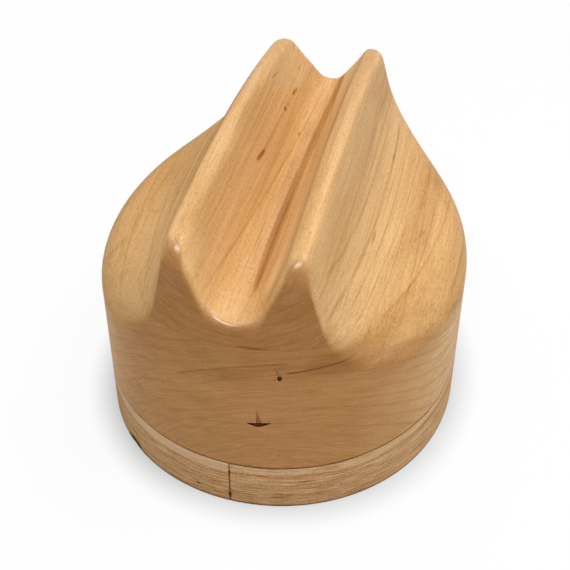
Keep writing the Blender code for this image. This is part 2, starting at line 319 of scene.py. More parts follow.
PALE = colour(226, 188, 135)
HONEY = colour(207, 165, 112)
BROWN = colour(184, 138, 82)
RED_BROWN = colour(120, 66, 30)
END_GRAIN = colour(214, 194, 168)
DARKEST_BROWN = colour(44, 7, 0)
MEAN_TONE = 0.475
LONG_GRAIN_TONE = 0.02
RING_SPACING = 5.6
PITH_REACH = 90
WOOD_GLOSS = 0.0
WOOD_RELIEF = 0.00008
FINISH_COAT = 0.24
FINISH_ROUGHNESS = 0.24
GLUE_HALF_WIDTH = 0.30

# Growth lines in millimetres, each with its span, its three heights over that, its half width and
# its strength. Spots have a centre, half sizes, a lean and a strength.
UPPER_RING = ((-28, 24), (74.5, 88, 93))
UNDER_RING = ((-16, 30), (76, 84.2, 88.6))
SHELF_LINE = ((-66, 42), (53.5, 69.5, 72.5))
LOWER_FRONT_LINES = (
    (*UPPER_RING, 0.8, 0.80), (*UNDER_RING, 0.8, 0.22),
    ((21, 38), (87.4, 88.5, 90.1), 1.4, 0.45), ((21, 50), (87.2, 89.4, 92), 0.75, 1.6),
    ((-26, 48), (50, 56, 58.5), 0.8, 0.26), ((-60, -12), (70, 74, 80), 1.0, 0.16),
    ((-50, 52), (60, 66.5, 63), 1.2, 0.10), ((-40, 60), (40, 47.5, 44), 1.4, 0.12),
)
LOWER_FRONT_SPOTS = (
    ((-49.5, 49.5), (1.1, 4.2), -1.2, 0.42), ((-35, 64.7), (1.0, 0.9), 0, 0.5),
    ((19, 36), (1.2, 1.0), 0, 0.4), ((68, 39.7), (1.0, 0.9), 0, 0.4),
)
LOWER_TOP_LINES = (
    (*SHELF_LINE, 0.8, 0.42), ((-40, 60), (80, 83, 76), 0.8, 0.3),
    ((-72, 56), (63, 63.5, 60), 0.6, 0.26), ((-60, 62), (60, 67, 62), 0.6, 0.28),
    ((-84, 40), (50, 55.5, 55), 0.6, 0.26), ((-76, 36), (-59, -69.5, -69), 0.9, 0.24),
    ((-90, 30), (-42, -56, -60), 0.9, 0.24),
)
LOWER_TOP_SPOTS = (
    ((61, 30), (2.2, 22), 0, 0.22), ((61, 20), (0.9, 3.5), 0.3, 0.3),
    ((64, 0), (1.0, 4.5), 0.3, 0.3), ((62, -6), (0.7, 2.5), 0.3, 0.25),
)
RIDGE_FRONT_LINES = (
    ((2, 32), (101.4, 103.2, 107.5), 0.8, 0.22), ((-34, 6), (116, 108.5, 107), 0.8, 0.20),
)
RIDGE_TOP_LINES = (
    ((-10, 66), (-13.4, -12.4, -11.6), 0.7, 0.26), ((-90, 40), (-18.4, -17.4, -16.6), 0.6, 0.16),
    ((-90, 60), (-5.2, -4.0, -2.6), 0.6, 0.14), ((-96, -70), (13.4, 8.2, 4.0), 0.5, 0.22),
    ((-88, 70), (33, 38.5, 37), 0.5, 0.24), ((-80, 60), (42, 48.5, 47), 0.5, 0.28),
)
RIDGE_BROKEN_LINES = (
    ((-98, 96), (-13.8, -7.8, -0.6), 0.55, 0.36), ((-94, 74), (36.3, 44.0, 41.0), 0.75, 0.60),
)
RIDGE_SPOTS = (
    ((44.7, -23), (0.8, 6.5), 0, 0.45), ((43.4, 38), (0.5, 5), 0, 0.35),
)
FLECKS = (
    ((-13.3, 1), (0.45, 8.0), 0.07, 0.9), ((-11.6, 60.8), (0.45, 3.4), 0.03, 0.9),
    ((-11.3, 64.4), (0.4, 1.3), 0, 0.9), ((-12.1, 43.9), (0.5, 2.2), 0.03, 0.9),
    ((-11.8, 48.7), (0.35, 1.6), 0, 0.54), ((-5.0, 43.9), (0.6, 2.0), 0, 0.72),
    ((-18.3, 46.5), (0.3, 4.5), 0.05, 0.54), ((-13.2, 78.4), (0.5, 1.8), 0, 0.45),
)


def spot(a, b, centre, half, lean=0.0):
    """1 in the middle of a small ellipse and 0 outside it; lean slants it."""
    off_a = (a - centre[0] - (b - centre[1]) * lean) / half[0]
    off_b = (b - centre[1]) / half[1]
    return (off_a * off_a + off_b * off_b).ramp(1.0, 0.15)


def bow(a, span, heights):
    """The height at a of the curve that passes three heights over its span."""
    return bowed((a - (span[0] + span[1]) / 2) / ((span[1] - span[0]) / 2), *heights)


def stroke(a, b, span, heights, width):
    """1 on a thin line that bows through three heights b over its span of a; its ends fade."""
    share = (a - (span[0] + span[1]) / 2) / ((span[1] - span[0]) / 2)
    off = abs(b - bow(a, span, heights)) / width
    return off.ramp(1.0, 0.1) * (share * share).ramp(1.0, 0.55)


def strokes(a, b, lines):
    """All lines of a table, each as dark as its strength."""
    return sum(stroke(a, b, *line) * strength for *line, strength in lines)


def spots(a, b, marks):
    """All spots of a table, each as dark as its strength."""
    return sum(spot(a, b, *mark) * strength for *mark, strength in marks)


def band(a, middle, half, full=0.2):
    """1 along a soft band round the middle value; full is the share of it that has no fade."""
    return (abs(a - middle) / half).ramp(1.2, full)


def glue_line(z):
    return (abs(z - GLUE_LINE * MM_PER_METRE) / GLUE_HALF_WIDTH).ramp(1.0, 0.0)


def round_knot(x, z):
    """The small knot high in the front wall, its paler middle, and the two splits beside it."""
    knot = spot(x, z, (19.3, 84.5), (1.15, 1.9)) - spot(x, z, (19.4, 84.9), (0.45, 0.7)) * 0.4
    upper_split = spot(x, z, (18.4, 87.8), (0.35, 1.9), -0.4) * 0.5
    lower_split = spot(x, z, (17.2, 83.4), (1.0, 0.5)) * 0.3
    return knot.high(upper_split).high(lower_split)


def split_knot(x, z):
    """The knot low in the front wall: a flat dark bar, its paler inside, and the stem over it."""
    top = 56.4 + (x - 10.3) * 0.10
    foot = 54.4 + abs(x - 9.6) * 0.16 + (x - 9.6) * (x - 9.6) * 0.05
    bar = (top - z).ramp(-0.45, 0.05) * (z - foot).ramp(-0.45, 0.05)
    inside = (top - z).ramp(0.3, 0.8) * (z - foot).ramp(0.3, 0.8)
    beside_stem = abs(x - 10.0 + (z - 59.8) * 0.107) / (0.55 + z.ramp(63, 56) * 0.9)
    stem = beside_stem.ramp(1.0, 0.5) - beside_stem.ramp(0.5, 0.1) * 0.45
    return bar, inside, stem * z.ramp(66, 60) * z.ramp(55, 56.5)


def lower_shade_and_tones(x, y, z, end):
    """Painted shade on the lower board's shelf rims, left hollow and shelf, painted light low on
    its left wall, and a darker front right edge.
    """
    left = x < 0
    # Painted shade on the shelf rims, where they turn from the lamps, in the left hollow and on the
    # left shelf.
    right_rim_shade = band(x, 63, 9) * (0.16 + y.ramp(-40, 0) * 0.2) + x.ramp(64, 76) * 0.16
    left_rim_shade = x.ramp(-56, -70) * 0.26 + x.ramp(-56, -44) * left * y.ramp(-80, -10) * 0.58
    left_shelf_shade = y.ramp(-30, 30) * left * 0.16
    front_edge = (spot(x, z, (45, 90), (19, 9)) * 0.30 + spot(x, z, (67, 79), (16, 7)) * 0.20
                  + x.ramp(50, 78) * z.ramp(62, 44) * 0.14) * (y < 0)
    # Painted light low on the left end of the wall.
    painted_left_wall = x.ramp(-45, -75) * z.ramp(100, 80) * 0.2
    return (right_rim_shade + left_rim_shade + left_shelf_shade) * (1 - end) * z.ramp(56, 76) + front_edge - painted_left_wall


def lower_figure_and_shade(x, y, z, end, uneven):
    """Growth lines of the lower board with its painted shade and light, and how dark its two knots
    are.
    """
    front = end * (y < 0)
    between = ((z - bow(x, *UNDER_RING)).ramp(-0.5, 1.5) * (bow(x, *UPPER_RING) - z).ramp(-0.5, 1.5)
               * x.ramp(-26, -8) * x.ramp(28, 20))
    on_front = strokes(x, z, LOWER_FRONT_LINES) + spots(x, z, LOWER_FRONT_SPOTS) + between * 0.18
    outside = (x - bow(y, *SHELF_LINE)).ramp(-0.4, 1.2) * y.ramp(20, -20)
    on_top = strokes(y, x, LOWER_TOP_LINES) + spots(x, y, LOWER_TOP_SPOTS) + outside * 0.22
    # Painted shade along the seam where the crown sits on the base.
    foot = z.ramp(27.8, 27.4) * 1.2
    bar, inside, stem = split_knot(x, z)
    lines = (on_front * front * uneven + on_top * (1 - end) * z.ramp(64, 76) * uneven + foot
             + lower_shade_and_tones(x, y, z, end) + glue_line(z) * (0.15 + uneven * 0.30)
             + (stem + inside) * front * 1.4)
    return lines, (round_knot(x, z).high(bar - inside * 0.5) * front * 1.1).low(0.97)


def ridge_shade_and_streak(x, y, uneven):
    """Painted shade and light on the ridge board: the crease's dark streak, its walls and bottom,
    crests and flanks.
    """
    behind, left = y.ramp(-88, -66), x < 0
    middle = bow(y.high(-40), (-40, 90), (1.5, 2.5, 6.4))
    middle = middle.high(bow(y.low(-28), (-92, -28), (4.2, 2.5, 1.5)))
    # Dark streak down the crease: partly painted shade at its bottom, partly a dark streak in the
    # wood.
    streak_and_crease_shade = (abs(x - middle) / (1.1 + y.ramp(-85, -45) * 1.7)).ramp(1.0, 0.35) * y.ramp(-82, -66)
    # Painted shade low on the crease's right wall towards the front, painted light higher up it and
    # behind.
    painted_right_wall = ((x - middle).ramp(8, 1.5) * (x > middle) * (0.20 - y.ramp(-20, 10) * 0.30)
                  - band(x, 13, 6, 0.3) * 0.76 - band(x, 20.5, 2.8, 0.3) * 0.14)
    painted_right_wall = painted_right_wall * behind + (1 - behind) * x.ramp(6, 9) * x.ramp(16, 13) * 0.16
    # A touch of painted shade on the crease's left wall.
    painted_left_wall = x.ramp(-9, -12) * x.ramp(-24, -19) * 0.02
    # Painted shade along the bottom of the crease, painted light there at the front.
    painted_crease_floor = band(x, -4.5, 9, 0.4) * behind - band(x, 1, 7, 0.3) * (1 - behind) * 0.7
    # Painted shade that narrows the lit band on the crests.
    painted_crest = (band(abs(x), 24, 3) * (0.18 + behind * 0.14)
             + band(abs(x), 20.5, 3) * y.ramp(-30, 10) * 0.26
             + (x.ramp(25, 28) * x.ramp(33, 30) - band(abs(x), 20, 3)) * (1 - behind) * 0.26)
    # Painted shade on the flanks, which turn away from the lamps; deepest on the left.
    flank = (y.ramp(-95, -50) * 0.18 + y.ramp(-20, 20) * 0.08 + y.ramp(30, 60) * 0.14
             + (y.ramp(-80, -50) * 0.30 + y.ramp(-60, 0) * 0.26) * left)
    return (streak_and_crease_shade * 0.66 * (0.7 + uneven * 0.3) + (painted_left_wall + painted_right_wall) * abs(x).ramp(24, 22)
            + painted_crease_floor * (0.10 + y.ramp(-30, 10) * 0.10) + painted_crest
            + flank * abs(x).ramp(26.5, 29.5) * abs(x).ramp(39, 33))


def ridge_figure_and_shade(x, y, z, end, uneven):
    """Growth lines of the ridge board, its flecks, its painted shade and light, and how dark the
    crack in its glue line is.
    """
    front = end * (y < 0)
    on_top = (ridge_shade_and_streak(x, y, uneven) + spots(x, y, FLECKS) + spots(x, y, RIDGE_SPOTS)
              + strokes(y, x, RIDGE_TOP_LINES) + strokes(y, x, RIDGE_BROKEN_LINES) * uneven)
    on_front = strokes(x, z, RIDGE_FRONT_LINES)
    crack = spot(x, z, (8, GLUE_LINE * MM_PER_METRE + 0.2), (8, 0.5))
    lines = (on_top * (1 - end) + on_front * front * uneven + end * 0.12
             + glue_line(z) * (0.10 + uneven * 0.30) + crack * front * 0.8)
    return lines, crack * front * 0.25


def satin_coat(x, z, sideways, facing, up):
    """How much of the clear finish gleams: more on the front lip and the handled crests."""
    lip = abs(facing).ramp(0.3, 0.55) * up.ramp(0.2, 0.5)
    upright = up.ramp(0.3, 0.1)
    polished = band(abs(x), 24.5, 5, 0.3) * z.ramp(118, 128)
    coat = FINISH_COAT + upright * 0.08 + lip * (0.42 + abs(x).ramp(21, 15) * 0.5) + polished * 0.22
    return coat * (1 - (-sideways).ramp(0.30, 0.90) * (0.80 - upright * 0.5))


def alder(name, heart, start, figure_and_shade):
    """The wood of one board; the function passed in adds the lines, marks, painted shade and
    painted light that this board alone shows.
    """
    material, tree = new_material(name)
    point = millimetres(tree)
    x, y, z = point.parts()
    sideways, facing, up = tree.add("ShaderNodeTexCoord", output="Normal").parts()
    end = abs(facing).ramp(0.25, 0.88)
    off_x, off_z = x - heart[0], z - heart[1]
    radius = long_side(off_x, off_z) + grain(tree, point, (60, 160, 60), start, 1) * 5
    round_heart = tree.vector(off_x.step("ARCTAN2", off_z) * PITH_REACH, y, radius)

    ring = (radius / RING_SPACING + grain(tree, point, (45, 200, 45), start, 1) * 0.8).fraction()
    late = ring.ramp(0.55, 0.92) * ring.ramp(1.0, 0.92)
    uneven = 0.8 + grain(tree, round_heart, (14, 45, 6), start, 2)
    hatching = grain(tree, round_heart, (9, 60, 0.5), start, 2, 0.65)
    dashes = grain(tree, round_heart, (20, 60, 1.1), start, 3, 0.6)
    mottle = grain(tree, point, (13, 40, 7), start, 3)
    fibres = grain(tree, point, (0.8, 60, 0.8), start, 3, 0.65)
    streaks = grain(tree, point, (3.2, 170, 3.2), start, 3, 0.6)
    bands = grain(tree, point, (13, 260, 13), start, 2)
    pores = grain(tree, point, (0.6, 1.8, 0.6), start, 2, 0.7)

    # End grain is painted darker towards the top: painted shade where less light comes up from the
    # table.
    on_end = (mottle * 0.26 + hatching * 0.48 + dashes * 0.20 + late * uneven * 0.14
              + z.ramp(72, 90) * 0.20)
    on_long = (streaks * 0.24 + fibres * 0.46 + bands * 0.24 + mottle * 0.14
               + pores.ramp(0.18, 0.5) * 0.46 + late * uneven * (0.10 + z.ramp(80, 66) * 0.22))
    # The lines that come back also hold the board's painted shade and painted light.
    lines, marks = figure_and_shade(x, y, z, end, uneven.high(0.15))
    # Painted shade in the left hollow beside the ridge and on the right shelf behind.
    hollow = x.ramp(-25, -29) * x.ramp(-66, -50) * y.ramp(-30, 8) * (1 - end) * up.ramp(0.05, 0.3)
    back_shelf_shade = x.ramp(38, 46) * y.ramp(-20, 30) * (1 - end) * z.ramp(70, 80)
    tone_and_shade = MEAN_TONE + (1 - end) * LONG_GRAIN_TONE + hollow * 0.28 + back_shelf_shade * 0.10
    amount = tone_and_shade + choose(end, on_end, on_long) + pores * 0.38 + lines
    base = mixed(tree, amount * 2, PALE, HONEY)
    base = mixed(tree, amount * 2 - 1, base, BROWN)
    base = mixed(tree, end, base, END_GRAIN, "MULTIPLY")
    base = mixed(tree, (amount - 1).low(1.0) * 0.9, base, RED_BROWN)
    base = mixed(tree, marks, base, DARKEST_BROWN)
    relief = pores * 0.6 + choose(end, hatching, fibres) * 0.4 - marks * 4
    coat = satin_coat(x, z, sideways, facing, up) * (1 - marks)
    finished(tree, base, 0.5 + pores * 0.2, relief, WOOD_RELIEF, WOOD_GLOSS, coat, FINISH_ROUGHNESS)
    return material


lower_wood = alder("alder_lower_board", (22, -13), (3, 1, 7), lower_figure_and_shade)
ridge_wood = alder("alder_ridge_board", (-6, 165), (11, 5, 2), ridge_figure_and_shade)


# Stand socket and screw places: the underside has a blind bore for a blocking stand's spindle and
# eight countersunk holes. They go through the base into the lower board, so both are cut with them.
SOCKET_RADIUS = 0.016
SOCKET_DEPTH = 0.040
SOCKET_CHAMFER = 0.0015
SCREW_COUNT = 8
SCREW_INSET = 0.024
SCREW_LENGTH = 0.045
SCREW_RECESS = 0.0006
HEAD_RADIUS = 0.004
HEAD_HEIGHT = 0.0027
SHANK_RADIUS = 0.0021
HOLE_SLACK = 0.00015
CUT_PAST = 0.005
SOCKET_FACETS = 128
HOLE_FACETS = 32


def angles(count):
    return [2 * math.pi * i / count for i in range(count)]


def joined(bm, rings):
    """Adds the faces between each ring of points and the next; a ring can be one point."""
    for ring, following in zip(rings, rings[1:]):
        for i in range(max(len(ring), len(following))):
            corners = ((ring, i), (ring, i + 1), (following, i + 1), (following, i))
            bm.faces.new(list(dict.fromkeys(points[k % len(points)] for points, k in corners)))


def turned(bm, profile, facets, place=Vector()):
    """Adds a closed turned body: (radius, height) points that start and end on the axis."""
    joined(bm, [[bm.verts.new(place + Vector((radius * math.cos(a), radius * math.sin(a), height)))
                 for a in angles(facets if radius else 1)] for radius, height in profile])


def in_oval(inset, angle, height):
    """A point at this height and this far inside the block's wall."""
    y = (OVAL_HALF_LENGTH - inset) * math.sin(angle)
    x = (OVAL_HALF_WIDTH - inset) * math.cos(angle) * (1 - OVAL_TAPER * y / OVAL_HALF_LENGTH)
    return Vector((x, y, height))


def screw_place(number):
    return in_oval(SCREW_INSET, 2 * math.pi * (number + 0.5) / SCREW_COUNT, SCREW_RECESS)


def underside_cutter():
    bm = bmesh.new()
    mouth = SOCKET_RADIUS + SOCKET_CHAMFER
    turned(bm, [(0, SOCKET_DEPTH), (SOCKET_RADIUS, SOCKET_DEPTH), (SOCKET_RADIUS, SOCKET_CHAMFER),
                (mouth, 0), (mouth, -CUT_PAST), (0, -CUT_PAST)], SOCKET_FACETS)
    shank, head = SHANK_RADIUS + HOLE_SLACK, HEAD_RADIUS + HOLE_SLACK
    for number in range(SCREW_COUNT):
        turned(bm, [(0, SCREW_LENGTH + HOLE_SLACK), (shank, SCREW_LENGTH),
                    (shank, HEAD_HEIGHT + HOLE_SLACK), (head, HOLE_SLACK),
                    (head, -CUT_PAST), (0, -CUT_PAST)], HOLE_FACETS, screw_place(number))
    return bm


# Crown boards: the carved crown sawn along its one glue line, where the two boards meet, each with
# a grain of its own. The lower board holds the wall and the shelves, the ridge board both ridges.
HARD_EDGE = math.radians(40)


def cut_and_close(bm, place, outward):
    """Cuts away what lies past the plane and closes the hole."""
    bmesh.ops.bisect_plane(bm, geom=bm.verts[:] + bm.edges[:] + bm.faces[:], dist=MERGE_DISTANCE,
                           plane_co=place, plane_no=outward, clear_outer=True)
    bmesh.ops.edgeloop_fill(bm, edges=[edge for edge in bm.edges if edge.is_boundary])


def show(name, bm, material):
    """Puts a finished mesh in the scene as a piece of the block."""
    bmesh.ops.recalc_face_normals(bm, faces=bm.faces)
    mesh = bpy.data.meshes.new(name)
    bm.to_mesh(mesh)
    bm.free()
    mesh.materials.clear()
    mesh.materials.append(material)
    mesh.shade_smooth()
    mesh.set_sharp_from_angle(angle=HARD_EDGE)
    thing = bpy.data.objects.new(name, mesh)
    bpy.context.scene.collection.objects.link(thing)
    return thing


def carved_out(thing, cutter_bm):
    """Cuts the bmesh's body out of the piece for good."""
    bmesh.ops.recalc_face_normals(cutter_bm, faces=cutter_bm.faces)
    mesh = bpy.data.meshes.new("cutter")
    cutter_bm.to_mesh(mesh)
    cutter = bpy.data.objects.new("cutter", mesh)
    bpy.context.scene.collection.objects.link(cutter)
    cut = thing.modifiers.new("cut", "BOOLEAN")
    cut.object, cut.operation, cut.solver = cutter, "DIFFERENCE", "EXACT"
    graph = bpy.context.evaluated_depsgraph_get()
    made = bpy.data.meshes.new_from_object(thing.evaluated_get(graph), depsgraph=graph)
    thing.modifiers.remove(cut)
    thing.data = made
    bpy.data.objects.remove(cutter, do_unlink=True)


crown = grown("crown", crown_tree(lower_wood), CROWN_SIZES)


def board(name, material, keep_upper):
    bm = bmesh.new()
    bm.from_mesh(crown.data)
    bmesh.ops.edgeloop_fill(bm, edges=[edge for edge in bm.edges if edge.is_boundary])
    cut_and_close(bm, (0, 0, GLUE_LINE), (0, 0, -1 if keep_upper else 1))
    return show(name, bm, material)


ridge_board = board("ridge_board", ridge_wood, True)
lower_board = board("lower_board", lower_wood, False)
holes = underside_cutter()
carved_out(lower_board, holes)
bpy.data.objects.remove(crown, do_unlink=True)
for piece, node, slot in ((ridge_board, "crown_ridge_board", "alder_ridge"),
                          (lower_board, "crown_lower_board", "alder_lower")):
    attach(piece, "root")
    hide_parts(node)


# Base plate: two halves of thick birch plywood butted along a straight seam, cut flush with the
# crown, their edges just eased. The edge shows the plies; a flake is missing under the left front.
# Its colour holds painted shade at the crown seam and bottom edge and painted light at its ends.
SEAM_X = -0.004
SEAM_GAP = 0.0003
EDGE_EASE = 0.0008
EDGE_STEPS = 4
OVAL_POINTS = 720
FLAKE_PLACE = Vector((-0.0586, -0.0766, 0.0020))
FLAKE_REACH = Vector((0.0080, 0.0013, 0.0030))
FLAKE_TURN = math.radians(-45)
FLAKE_RAG = 0.12
FLAKE_RAG_SCALE = 2.4
PLY_PALE = colour(208, 174, 130)
PLY_MIDDLE = colour(183, 141, 96)
PLY_DARK = colour(150, 103, 62)
PALE_PLY_AND_SHEEN = colour(212, 183, 152)
PLY_RELIEF = 0.0001
PLY_COAT = 0.06
PLY_ROUGHNESS = 0.3
PLY_MARKS = (
    ((-20, 6.2), (1.6, 1.0), 0, 0.9), ((-10, 11.7), (4.6, 0.7), 0, 0.6),
    ((19.5, 6.8), (6.0, 0.8), 0, 0.6), ((-45, 17.8), (1.6, 0.8), 0, 0.4),
    ((32, 17.3), (3.5, 0.7), 0, 0.35),
)


def birch_plywood(name):
    material, tree = new_material(name)
    point = millimetres(tree)
    x, y, z = point.parts()
    _, _, up = tree.add("ShaderNodeTexCoord", output="Normal").parts()
    edge = abs(up).ramp(0.9, 0.6)
    seam_x = SEAM_X * MM_PER_METRE
    level = z + (x < seam_x) * 1.4 + grain(tree, point, (60, 60, 90), (2, 2, 0), 1) * 1.2
    layered = tree.vector(x, y, level)
    layers = grain(tree, layered, (70, 70, 1.3), (5, 0, 3), 3, 0.6)
    fine = grain(tree, layered, (14, 14, 0.40), (1, 0, 3), 3, 0.65)
    mottle = grain(tree, layered, (9, 9, 3), (1, 6, 3), 2)
    speckle = grain(tree, point, (0.7, 0.7, 0.7), (1, 6, 3), 2, 0.7)
    face = grain(tree, point, (3, 90, 3), (6, 0, 1), 4, 0.6)
    top_ply = level.ramp(21.8, 22.8)
    at_seam = abs(x - seam_x).ramp(1.3, 0.4)
    chips = (spot(x, z, (seam_x, 21), (1.1, 1.1)) + spot(x, z, (seam_x, 5), (1.1, 2.4))) * 0.7
    marks = spots(x, z, PLY_MARKS) + at_seam * chips + abs(x - seam_x).ramp(0.7, 0.2) * 0.7
    off_x, off_z = x - FLAKE_PLACE.x * MM_PER_METRE, z - FLAKE_PLACE.z * MM_PER_METRE
    flake = (off_x * off_x / 30 + off_z * off_z / 5).ramp(1.0, 0.5)
    dark_ply = (abs(level - 20.6) / 0.7).ramp(1.0, 0.1) * 0.34
    # Shade holds a real dark ply line, painted shade in the seam under the crown and a painted
    # contact shadow along the bottom edge.
    shade = dark_ply + z.ramp(26.3, 26.8) * 2.2 + z.ramp(1.8, 0.6) * 1.5
    # Painted light on the plate's left and right ends.
    sides = x.ramp(-30, -60) * 0.14 + x.ramp(48, 75) * 0.16
    on_edge = (layers * 0.70 + fine * 1.8 + mottle * 0.26 + speckle * 0.8 + shade
               + (marks + flake * 0.9) * (y < 0) - top_ply * 0.20 - sides)
    amount = 0.50 + choose(edge, on_edge, face * 0.6 + fine * 0.1)
    base = mixed(tree, amount * 1.8, PLY_PALE, PLY_MIDDLE)
    base = mixed(tree, amount * 1.8 - 1, base, PLY_DARK)
    # The pale top ply, with a painted sheen over its eased edge, strongest on the left half.
    base = mixed(tree, top_ply * edge * ((x < seam_x) * 0.3 + 0.15), base, PALE_PLY_AND_SHEEN)
    # The darkest marks, the painted seam shade and the painted bottom edge shadow run into dark
    # brown.
    base = mixed(tree, (amount - 1.1).low(1.0) * 0.85, base, DARKEST_BROWN)
    relief = fine + mottle * 0.5
    finished(tree, base, 0.52 + fine * 0.1, relief, PLY_RELIEF, WOOD_GLOSS, PLY_COAT, PLY_ROUGHNESS)
    return material


def plate():
    """The whole oval plate, with a quarter round of the easing at its upper and lower edge."""
    turns = [math.pi / 2 * i / EDGE_STEPS for i in range(EDGE_STEPS + 1)]
    lower = [((1 - math.sin(a)) * EDGE_EASE, (1 - math.cos(a)) * EDGE_EASE) for a in turns]
    upper = [(inset, BASE_TOP - height) for inset, height in reversed(lower)]
    bm = bmesh.new()
    rings = [[bm.verts.new(in_oval(inset, a, height)) for a in angles(OVAL_POINTS)]
             for inset, height in lower + upper]
    joined(bm, rings)
    bm.faces.new(rings[0])
    bm.faces.new(rings[-1])
    return bm


def missing_flake():
    """A small ragged lens, laid along the plate's lower edge."""
    bm = bmesh.new()
    bmesh.ops.create_icosphere(bm, subdivisions=4, radius=1)
    for vertex in bm.verts:
        ragged = vertex.co * (1 + FLAKE_RAG * noise.noise(vertex.co * FLAKE_RAG_SCALE))
        vertex.co = Vector((p * q for p, q in zip(ragged, FLAKE_REACH)))
    bmesh.ops.rotate(bm, verts=bm.verts, matrix=Matrix.Rotation(FLAKE_TURN, 3, "Z"))
    bmesh.ops.translate(bm, verts=bm.verts, vec=FLAKE_PLACE)
    return bm


plywood = birch_plywood("birch_plywood_edge")
whole = show("whole_plate", plate(), plywood)
carved_out(whole, holes)
flake_cutter = missing_flake()
carved_out(whole, flake_cutter)
flake_cutter.free()
for name, node, side in (("base_left", "base_left_half", -1), ("base_right", "base_right_half", 1)):
    bm = bmesh.new()
    bm.from_mesh(whole.data)
    cut_and_close(bm, (SEAM_X + side * SEAM_GAP / 2, 0, 0), (-side, 0, 0))
    half = show(name, bm, plywood)
    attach(half, "root")
    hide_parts(node)
bpy.data.objects.remove(whole, do_unlink=True)
holes.free()


# Base screws: eight zinc plated wood screws with countersunk heads and a cross recess, driven up
# from below. One screw is modelled and Geometry Nodes set it round the oval.
SCREW_SIZES = {"Count": SCREW_COUNT, "Half Length": OVAL_HALF_LENGTH, "Half Width": OVAL_HALF_WIDTH,
               "Taper": OVAL_TAPER, "Inset": SCREW_INSET, "Recess": SCREW_RECESS}
THREAD_PITCH = 0.0018
THREAD_DEPTH = 0.0006
THREAD_START = 0.016
THREAD_STEPS = 6
THREAD_CREST = 1.6
POINT_LENGTH = 0.006
POINT_LEFT = 0.06
HEAD_EDGE = 0.0004
SCREW_FACETS = 20
SCREW_TURNS = 7
RECESS_WIDTH = 0.0010
RECESS_REACH = 0.0023
RECESS_DEPTH = 0.0019
RECESS_PAST = 0.001
RECESS_REACH_LEFT = 0.45
RECESS_WIDTH_LEFT = 0.7
ZINC_COOL = colour(176, 178, 182)
ZINC_WARM = colour(196, 194, 184)
ZINC_RELIEF = 0.00001


def zinc(name):
    material, tree = new_material(name)
    point = millimetres(tree)
    cloud = grain(tree, point, (4, 4, 4), (0, 0, 0), 3)
    fine = grain(tree, point, (0.3, 0.3, 0.3), (4, 2, 1), 2)
    base = mixed(tree, cloud + 0.5, ZINC_COOL, ZINC_WARM)
    finished(tree, base, 0.34 + cloud * 0.12, fine, ZINC_RELIEF, metallic=1.0)
    return material


def one_screw():
    """A screw that stands on its head with the point up; its thread is wound as one helix."""
    bm = bmesh.new()
    rows = [([radius] * SCREW_FACETS, height) for radius, height in (
        (HEAD_RADIUS, 0), (HEAD_RADIUS, HEAD_EDGE), (SHANK_RADIUS, HEAD_HEIGHT),
        (SHANK_RADIUS, THREAD_START))]
    for row in range(1, int((SCREW_LENGTH - THREAD_START) / THREAD_PITCH * THREAD_STEPS)):
        height = THREAD_START + row * THREAD_PITCH / THREAD_STEPS
        left = max(min((SCREW_LENGTH - height) / POINT_LENGTH, 1), POINT_LEFT)
        waves = [abs(((row / THREAD_STEPS - i / SCREW_FACETS) % 1) * 2 - 1)
                 for i in range(SCREW_FACETS)]
        rows.append(([(SHANK_RADIUS - THREAD_DEPTH * min(wave * THREAD_CREST, 1)) * left
                      for wave in waves], height))
    rings = [[bm.verts.new((radius * math.cos(a), radius * math.sin(a), height))
              for radius, a in zip(radii, angles(SCREW_FACETS))] for radii, height in rows]
    joined(bm, rings)
    bm.faces.new(rings[0])
    bm.faces.new(rings[-1])
    return bm


def recess_wedge(turn):
    """One of the cross recess's two crossed wedges; it narrows as it goes into the head."""
    bm = bmesh.new()
    for vertex in bmesh.ops.create_cube(bm, size=2)["verts"]:
        deep = vertex.co.z > 0
        reach = RECESS_REACH * (RECESS_REACH_LEFT if deep else 1)
        width = RECESS_WIDTH / 2 * (RECESS_WIDTH_LEFT if deep else 1)
        height = RECESS_DEPTH if deep else -RECESS_PAST
        vertex.co = (vertex.co.x * reach, vertex.co.y * width, height)
    bmesh.ops.rotate(bm, verts=bm.verts, matrix=Matrix.Rotation(turn, 3, "Z"))
    return bm


steel = zinc("zinc_plating")
pattern = show("screw_pattern", one_screw(), steel)
for turn in (0, math.pi / 2):
    wedge = recess_wedge(turn)
    carved_out(pattern, wedge)
    wedge.free()


def screw_ring_tree():
    tree, size, start = tree_with_sizes("screws_round_the_oval", SCREW_SIZES)
    points = tree.add("GeometryNodePoints", {}, {"Count": size["Count"]})
    angle = 2 * math.pi * (tree.add("GeometryNodeInputIndex") + 0.5) / size["Count"]
    y = (size["Half Length"] - size["Inset"]) * angle.sine()
    narrowing = 1 - size["Taper"] * y / size["Half Length"]
    x = (size["Half Width"] - size["Inset"]) * angle.cosine() * narrowing
    points = tree.add("GeometryNodeSetPosition", {}, {
        0: points, "Position": tree.vector(x, y, size["Recess"])})
    turn = tree.vector(0, 0, angle * SCREW_TURNS)
    turn = tree.add("FunctionNodeEulerToRotation", {}, {0: turn})
    screws = tree.add("GeometryNodeInstanceOnPoints", {}, {
        "Points": points, "Instance": start.output("Geometry"), "Rotation": turn})
    screws = tree.add("GeometryNodeRealizeInstances", {}, {0: screws})
    screws = tree.add("GeometryNodeSetMaterial", {}, {0: screws, "Material": steel})
    tree.add("NodeGroupOutput", {}, {0: screws})
    return tree


screws = grown("base_screws", screw_ring_tree(), SCREW_SIZES, pattern.data)
bpy.data.objects.remove(pattern, do_unlink=True)
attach(screws, "root")
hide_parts(*(f"base_screw_{number}" for number in range(1, SCREW_COUNT + 1)))


